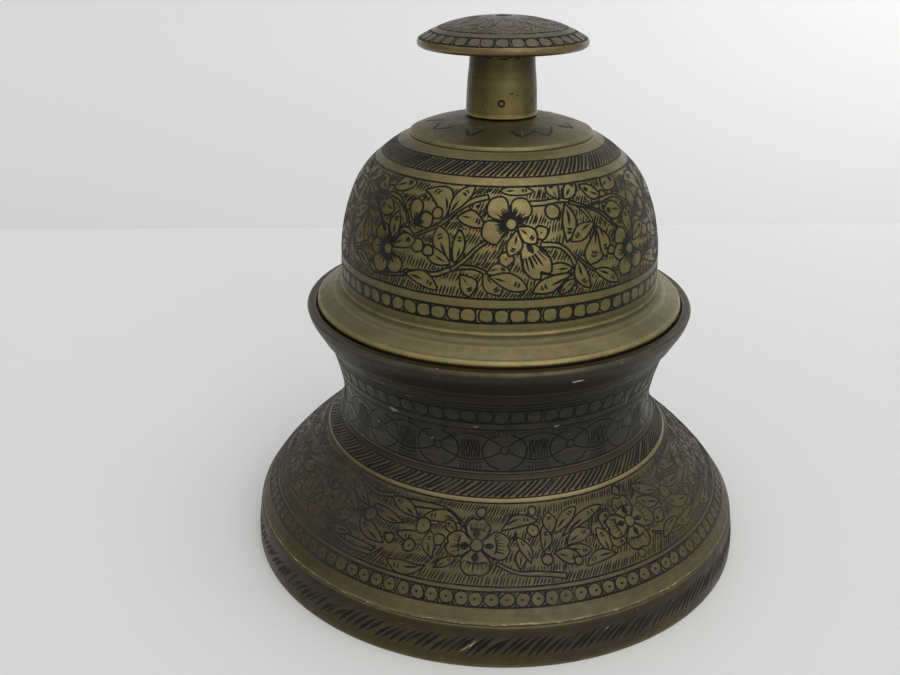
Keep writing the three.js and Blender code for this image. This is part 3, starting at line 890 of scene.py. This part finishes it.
# ------------
# Bell. One brass casting: a flange with a rolled bead that drops into the ring, a ridge and a cove
# above it, an upright side and a round shoulder. It is polished outside, and dusty on the flange.
bell_brass = aged_brass(
    "bell_brass", (0.2, 0.163, 0.064), (0.13, 0.11, 0.05), (0.42, 0.335, 0.13), 0.38, 0.25, 7.7
)
BEAD = np.radians(np.linspace(-45, 75, 9))
bell_section = section(
    [(41.7, 58.6)],
    np.column_stack([41.6 + 0.9 * np.cos(BEAD), 60.5 + 0.9 * np.sin(BEAD)]),
    curve((41.55, 61.42), (40.2, 62.2), (38.5, 63.1)),
    curve((37.75, 63.25), (37.05, 63.65), (36.85, 64.3), (36.95, 64.9)),
    [(36.65, 65.2)],
    curve(
        (36.6, 65.4), (36.6, 67), (36.5, 71), (36.1, 76), (34.8, 82), (32.4, 88), (29.5, 92), (25.4, 95.5)
    ),
    curve((25.4, 95.5), (23.1, 97), (20.6, 98.3)),
    [(2.5, 98.3), (2.5, 95.7)],
    curve((18, 95.7), (24.2, 93), (29, 88.5), (32.3, 81.4), (33.7, 75), (34, 69)),
    [(34, 62.5), (35.4, 58.6)],
    ease=0.12,
)
# Along the section: the ridge above the flange is kept bright and the cove is a little darker; painted
# shade darkens the band of strokes under the crown and the bell's top beneath the crown disc.
bell_soil_and_shade = (
    ((39.1, 62.8), (37.7, 63.3), -0.22),
    ((37, 64.4), (36.7, 66.5), 0.1),
    ((25.4, 95.5), (23.1, 97), 0.5),
    ((19.8, 98.3), (2.6, 95.7), 0.8),
)
# Round the turn: painted shade on the left and, less, on the right, and a faint painted highlight at the
# front.
turned(
    "bell", bell_section, "bell", "bell_brass", bell_brass, "bell_dome", 288, 1.1, 0.5, bell_soil_and_shade,
    ((-90, -40, 0.5), (-30, 14, -0.1), (30, 100, 0.16)),
)

# Engraving of the bell, from the flange up: a row of beads, a wide band of flowers and leaves on a
# hatched ground, and a band of fine slanting strokes under the crown.
bell_lac = black_fill("bell_lac", wear=0.12)
# Painted sheen: the lac is paled at the glancing left and right of the bell, where reflections wash the
# pattern out, and rubbed at the back.
bell_faded = ((-95, -50, 0.45), (52, 100, 0.45), (170, 205, 0.25))
band = EngravedBand("bell_beads", bell_section, (36.6, 67.2), (36.5, 70.4), 31, 0.4)
bead_row(band, 0, band.length, 70, turn=1.5, square=0.8)
band.fill("bell", bell_lac, bell_faded)


def bell_flower(band, place, petals, star):
    """A flower of round petals, each given as its angle, length and width, round a button with a
    dense black star of strokes cut from its edge out over the petals."""
    for angle, length, width in petals:
        tip = band.polar(place, length, np.radians(angle))
        level = leaf(band, place, tip, width, 0, 0.68, 0.62, veins=False)
    for reach, count in ((3.7, 34), (2.6, 30)):
        rays(band, place, 1, reach, np.linspace(*star, count), 0.5, level)
    bud(band, place, 1.2)


bell_stems = (
    (0.9, 0.5, (-50, 20.2), (-45, 20.3), (-40, 19.7), (-35.5, 17.6), (-33, 15.4)),
    (0.6, 1, (-30, 12.9), (-24, 14.9), (-19, 16.7), (-15.5, 19), (-10, 21.4), (-4, 22.4)),
    (0.5, 0.8, (-46, 3.4), (-39, 3.9), (-33, 4.8), (-30, 5.3)),
    (1, 0.8, (-32, 5.2), (-25, 5.8), (-20, 6.1), (-14, 7.7), (-8, 8.1), (-3.5, 7)),
    (0.9, 0.6, (-15, 7.3), (-11, 9.5), (-7, 12), (-4, 13.4)),
    (1.1, 0.6, (10.5, 20.9), (17, 21), (23, 21.2), (28, 20.3), (32, 18.4), (34.8, 15.4)),
    (0.7, 0.5, (26.5, 20.6), (33, 19.2), (38, 17.8), (42, 15.6), (47, 12.6)),
    (0.5, 0.4, (34, 19.2), (39, 19.6), (44, 19.4)),
    (1, 0.6, (14, 12.8), (20, 12.1), (24.2, 10), (25.7, 7.4), (25.3, 3.8)),
    (0.5, 0.4, (26.2, 9.8), (30, 7.5), (34, 5.8), (39, 5.2), (44, 5.6)),
)
bell_leaves = (  # with the place where each is widest
    (-19.5, 16.8, -30.2, 22.6, 4.4, -0.34, 0.5), (-18.3, 17.3, -9.8, 24.8, 3.2, 0.08, 0.6),
    (-14.9, 17.8, -4.7, 16.2, 3.3, 0.12, 0.5), (-15.4, 8.9, -21, 15.7, 3.6, 0.06, 0.6),
    (-14.4, 8.7, -13.4, 15.4, 2.5, -0.06, 0.5), (-15.6, 8.3, -25.4, 11.5, 3, 0.05, 0.5),
    (-29.6, 12.6, -36.2, 13.6, 2.6, 0, 0.5), (-38.6, 11.4, -38.4, 17.2, 3, 0.05, 0.55),
    (-40.8, 17, -49.6, 17.8, 3.8, 0, 0.5), (-45.8, 21.8, -35.4, 23.6, 4, 0.1, 0.5),
    (-31.4, 5.2, -19.4, 2.8, 3, 0.1, 0.5), (-12.2, 6.6, -8.8, 2.2, 3.4, 0.14, 0.55),
    (-4.6, 6.9, 0.8, 2.5, 3.5, 0.05, 0.5), (-3.8, 7, 3.8, 7.5, 2.4, 0.16, 0.5),
    (-3.2, 6.6, 9.4, 3.8, 3.3, 0.04, 0.55), (0.2, 23.7, 13.4, 23.5, 2.4, 0.04, 0.5),
    (22.5, 21.2, 20.3, 25.6, 3.4, 0, 0.6), (25, 21.3, 32.2, 25.4, 3, 0, 0.5),
    (24.4, 20.5, 23.2, 12.8, 3.1, 0.1, 0.5), (34.9, 15.8, 24.8, 12.6, 3, -0.05, 0.55),
    (34.4, 15.2, 31.4, 7.4, 4.4, 0.08, 0.68), (35, 15.3, 37.8, 8.4, 2.8, 0.12, 0.6),
    (26.6, 9.4, 31, 2.8, 2.8, -0.1, 0.55), (24.7, 7.3, 14, 7, 2.4, -0.06, 0.5),
    (24.3, 6.4, 11, 3.2, 3.3, 0, 0.6), (25.6, 5.2, 19.8, 2.4, 1.9, 0, 0.5),
    (32.8, 6.2, 43, 2.4, 2.4, 0.08, 0.5), (42, 20.9, 33.8, 24, 3.2, 0.08, 0.55),
)
bell_buds = (
    (-23.8, 10.5, 1.15), (-28, 11.2, 1.4), (14.4, 15, 1.4, True), (2.5, 10, 1.45, True),
    (19.2, 19, 1.6), (40.5, 9.6, 0.95), (42.8, 21, 0.95), (-22.4, 18.2, 1.2),
)
UPPER_PETALS = ((130, 6.6, 4.9), (55, 6, 4.6), (204, 6.3, 4.8))
LOWER_PETALS = ((242, 5.8, 4), (307, 5.4, 4), (128, 5.6, 3.9), (183, 4.9, 3.4))
band = EngravedBand("bell_flowers", bell_section, (36.4, 72.4), (28.3, 93.3), 32, 0.44)
for quarter in range(4):
    at = quarter_of_flowers(band, quarter, 1.8, bell_stems, bell_leaves, bell_buds)
    for place, tip, width in (((-30.2, 15.2), (-23.8, 17.4), 3.3), ((-30.6, 15.8), (-31.9, 20.6), 3.4)):
        level = leaf(band, at(*place), at(*tip), width, 0, 0.62, 0.65, veins=False)
        rays(band, at(*place), 0.3, 2.2, np.linspace(0, 110, 12), 0.36, level)
    fan = fan_petal(band, at(6.6, 15.4), -62, 10.6, 25, (3, 5.2, 1.2), 0.13, 0.24)
    rays(band, at(6.6, 15.4), 5.4, 8.6, np.linspace(-82, -42, 15), 0.4, fan)
    leaf(band, at(6.3, 16.4), at(13, 13.1), 3.2)
    leaf(band, at(6, 15.6), at(3.2, 10.5), 3, 0.1)
    leaf(band, at(-38.2, 9.8), at(-29.2, 12.3), 3.2, 0.08, 0.6)
    bell_flower(band, at(4.2, 16.9), UPPER_PETALS, (0, 240))
    bell_flower(band, at(-40, 9.2), LOWER_PETALS, (60, 330))
hatched_ground(band, 0.05, band.length - 0.05, 2.5, 0.66, 0.38)
edge_lines(band, 0.5)
band.fill("bell", bell_lac, bell_faded)

band = EngravedBand("bell_strokes", bell_section, (26.5, 94.7), (23.1, 97), 33, 0.42)
slanting_cuts(band, 0, band.length, 148, 7.5, 0.57)
edge_lines(band)
band.fill("bell", bell_lac, bell_faded)

# ------------
# Chips and glints. Pale scratches and flakes where the dark skin of the stand and the crown has
# been knocked through, and a row of fine pale slivers along the foot's edge that are painted
# glints of light on it. Each is a thin pale sliver.
chip_and_glint_metal = black_fill("chip_and_glint_metal", (0.36, 0.32, 0.23), (0.2, 0.165, 0.1), 0.8, 0.5)


def pale_slivers(name, track, start, end, body, slot, seed, places):
    """Slivers at places given as degrees from the front, millimetres up the band, length, width
    and slope in degrees."""
    band = EngravedBand(name, track, start, end, seed)
    for u, t, long, wide, slope in places:
        part = np.array([-0.5, -0.2, 0.15, 0.5]) * long
        fat = np.array([0.3, 1, 0.8, 0.25]) * wide
        band.cut(*band.polar((u, t), part, np.radians(slope)), fat, None)
    band.fill(body, chip_and_glint_metal, slot=slot)


chance = np.random.default_rng(61)
# Pale slivers scattered along the foot's edge: painted glints of light on the edge.
edge_glints = []
for _ in range(150):
    place = (chance.uniform(-180, 180), chance.normal(0.75, 0.16))
    edge_glints.append((*place, chance.uniform(0.4, 2.2), chance.uniform(0.1, 0.24), 0))
skirt_nicks = (
    (-4.5, 2.4, 4.6, 0.16, 38), (-3.6, 3, 2.2, 0.14, 60), (24, 4.2, 1, 0.2, 20), (31, 3, 1.2, 0.2, 80),
)
waist_nicks = (
    (-35, 11.2, 2.2, 0.5, -14), (-35.6, 10.8, 1.3, 0.4, -30), (-44, 5.6, 0.8, 0.25, 60),
    (-21, 6.2, 0.6, 0.25, 40), (-27, 16.8, 1.6, 0.14, 4), (-38, 18.2, 3.6, 0.1, 2),
    (20, 10.4, 1.4, 0.2, 8), (46, 12.6, 2.2, 0.2, 80), (48, 12, 1.8, 0.2, 84),
    (-6, 10.9, 0.9, 0.16, 0), (150, 9, 2.4, 0.4, -20), (121, 13, 1.4, 0.4, 30),
)
ring_nicks = (
    (22, 3.4, 2.6, 0.7, 4), (-15, 5.6, 1, 0.1, 0), (-52, 4, 1.2, 0.2, 10), (170, 3.6, 2.4, 0.5, 5),
)
pale_slivers("foot_edge_glints", foot_section, (58.75, 9.3), (58.1, 10.7), "stand", "foot_brass", 62, edge_glints)
pale_slivers("skirt_nicks", foot_section, (59.9, 2.4), (59.2, 8.2), "stand", "foot_brass", 63, skirt_nicks)
pale_slivers("waist_nicks", waist_section, (37.8, 33.6), (41, 52.6), "stand", "waist_brass", 64, waist_nicks)
pale_slivers("ring_nicks", ring_section, (42.3, 54), (44.9, 59.4), "stand", "waist_brass", 65, ring_nicks)

# ------------
# Crown disc. A low turned dome of brass on top of the bell, its edge a fine step above it. Worn
# strokes are left of a ring of pointed petals round the neck.
crown_brass = aged_brass(
    "crown_brass", (0.192, 0.158, 0.074), (0.13, 0.111, 0.06), (0.4, 0.33, 0.15), 0.42, 0.2, 9.1
)
crown_section = section(
    [(20.3, 98.34)],
    curve((20.4, 98.5), (20.2, 98.95), (19.6, 99.35), (16.4, 100.5), (12.2, 101.5), (8.6, 102)),
    [(2.5, 102), (2.5, 98.36)],
    ease=0.07,
)
# Round the turn: painted shade on the left and the right of the crown disc.
turned(
    "crown", crown_section, "bell", "bell_brass", crown_brass, "crown_disc", 200, 0.9, 0.25,
    painted_side_shading=((-110, -30, 0.1), (30, 100, 0.16)),
)

worn_lac = black_fill("worn_lac", (0.007, 0.0065, 0.005), (0.1, 0.085, 0.055), 0.7)
band = EngravedBand("crown_petals", crown_section, (19, 99.6), (9.2, 101.95), 41)
PETAL_TIPS = [-24, 15] + [36 + 33 * i for i in range(9)]
part = np.linspace(0, 1, 5)
for i, tip in enumerate(PETAL_TIPS):
    depth = 2.2 + band.uniform(-0.3, 0.3)
    for reach in (-band.uniform(4, 11), band.uniform(8, 18)):
        if i > 1 and band.random.random() < 0.3:
            continue
        rise = band.uniform(2.6, 3.8)
        for shift, width in ((0, 0.6), (0.8, 0.4)):
            down = depth + 0.3 * shift + rise * part**0.9
            band.cut(tip + shift + reach * part, down, width, None, 0.9)
band.fill("bell", worn_lac, ((25, 330, 0.3),))
crown_nicks = (
    (-22, 7.4, 0.5, 0.36, 0), (57, 1, 0.4, 0.3, 0), (8, 5.6, 1.2, 0.18, -40), (18, 4.6, 1.4, 0.16, 80),
)
pale_slivers("crown_nicks", crown_section, (19, 99.6), (9.2, 101.95), "bell", "bell_brass", 66, crown_nicks)

# ------------
# Neck. The handle's tapered brass sleeve, cross drilled at the front for the pin that locks it to
# the bolt inside. The pin's dark end lies almost flush.
neck_brass = aged_brass(
    "neck_brass", (0.17, 0.141, 0.045), (0.085, 0.071, 0.028), (0.34, 0.285, 0.1), 0.32, 0.08, 11.9
)
neck_section = section(
    [(7.75, 102.3)],
    curve((7.9, 102.5), (7.8, 104.2), (7.6, 109), (7.2, 113), (7.1, 116.2)),
    [(7, 116.4), (2.5, 116.4), (2.5, 102.3)],
)
# The sleeve is painted darker and darker towards the cap, a painted shadow of the cap, and its lowest part
# is kept a little bright.
neck_shading = (
    ((7.4, 110.4), (7.3, 111.8), 0.15),
    ((7.3, 111.8), (7.2, 113.2), 0.35),
    ((7.2, 113.2), (7.15, 115.9), 0.6),
    ((7.85, 102.9), (7.7, 106.5), -0.12),
)
# Round the turn: painted shade on the left and the right of the sleeve, and a painted highlight at its
# front, a little right of the middle.
turned(
    "neck", neck_section, "bell", "handle_brass", neck_brass, "handle_neck", 128, 1, 1, neck_shading,
    ((-120, -20, 0.6), (-2, 26, -0.2), (44, 150, 0.5)),
)

# The pin's end shows as a small dark ring, low on the front. Dark pits mark the sleeve, and a
# ragged line of short black marks runs round it just under the cap.
NECK_MARKS_FROM = 103.2
PIN_AT = 105.8
band = EngravedBand("neck_marks", neck_section, (7.88, NECK_MARKS_FROM), (7.13, 115.8), 45)
turn = np.linspace(0, 2 * np.pi, 15)
band.cut(*band.polar((0, PIN_AT - NECK_MARKS_FROM), 0.62, turn), 0.5, None)
pits = (
    (16, 4.6, 0.8, 0.34), (26, 4.2, 0.5, 0.26), (-32, 2.2, 0.5, 0.3),
    (-58, 7.5, 0.7, 0.2), (58, 3, 0.6, 0.3),
)
for u, t, long, wide in pits:
    spot = ACROSS * long
    band.cut(u + spot / band.scale, t + 0.4 * spot, wide, None, taper=0.2)
for i in range(46):
    u = band.uniform(0, 360)
    t = band.length - band.uniform(0.1, 0.9)
    spot = ACROSS * band.uniform(0.5, 1.8)
    band.cut(u + spot / band.scale, t + 0 * spot, band.uniform(0.2, 0.5), None, taper=0.2)
band.fill("bell", bell_lac)

# ------------
# Cap. The mushroom knob, turned from brass and cored out underneath. Its rim is rubbed down to a
# coppery colour, and its top is dusty and dull.
cap_brass = aged_brass(
    "cap_brass", (0.12, 0.099, 0.058), (0.08, 0.069, 0.045), (0.185, 0.128, 0.058), 0.36, 0.28, 14.2
)
cap_section = section(
    [(2.5, 116.7), (8.2, 116.7), (9, 117.6), (15.6, 117.6), (16.6, 116.7), (17.8, 116.75)],
    curve((17.8, 116.75), (18.35, 117.2), (18.5, 117.8), (18.25, 118.45), (17.3, 119.1)),
    curve((17.3, 119.1), (15.2, 120.2), (12.2, 121.4), (8.6, 122.3), (4.8, 122.85), (1.8, 123.05)),
    [(1.8, 118.6), (2.5, 118.6)],
)
cap_soil = (((15.8, 116.9), (18.1, 116.95), 0.35), ((18.35, 117.2), (18.3, 118.3), -0.1))
# Round the turn: painted shade on the left and the right of the cap.
turned(
    "cap", cap_section, "bell", "handle_brass", cap_brass, "handle_cap", 200, 0.8, 1, cap_soil,
    ((-100, -40, 0.12), (70, 150, 0.12)),
)

band = EngravedBand("cap_beads", cap_section, (18.1, 118.6), (15.5, 120.05), 51, 0.28)
bead_row(band, 0.05, band.length, 35, square=0.72)
band.fill("bell", bell_lac)

band = EngravedBand("cap_flower", cap_section, (13.9, 120.75), (3.2, 122.95), 52, 0.17)
ring_line(band, 0, 0.34)
for i in range(8):
    leaf(band, (45 * i, 9.4), (45 * i + 8, 1.2), 5, 0.06, 0.6, 0.7)
for i in range(8):
    leaf(band, (45 * i + 22.5, 8.4), (45 * i + 24, 0.8), 2.6, 0, 0.5)
hatched_ground(band, 0.1, 6.5, 2, 0.95, 0.15)
band.fill("bell", worn_lac)

# ------------
# Eye bolt, pin, washer, nut and clapper. Plain brass, as turned and forged, hardly ever seen. The
# bolt's reduced end is peened over on top of the cap, and the clapper hangs from its eye.
inner_brass = aged_brass(
    "inner_brass", (0.2, 0.165, 0.095), (0.13, 0.11, 0.07), (0.4, 0.32, 0.17), 0.45, 0.3, 17.3
)
pin_brass = aged_brass(
    "pin_brass", (0.06, 0.052, 0.04), (0.035, 0.031, 0.025), (0.14, 0.12, 0.08), 0.45, 0.1, 19.1
)
for material, names in (
    (inner_brass, ("crown_washer", "crown_nut", "clapper_link", "clapper_rod", "clapper_burr")),
    (pin_brass, ("tie_rod", "neck_pin")),
):
    for name in names:
        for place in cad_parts[name].material_slots:
            place.material = material
bob_section = section(
    [(1.2, 43.6), (3.4, 43.6)],
    curve((3.4, 43.6), (6.2, 45.6), (7.6, 48.2), (8, 50.6), (7.5, 53.3), (5.9, 55.9), (3.6, 58),
          (2.2, 60.5)),
    [(1.2, 60.6)],
)
turned("bob", bob_section, "clapper", "inner_brass", inner_brass, "clapper_bob", 96)
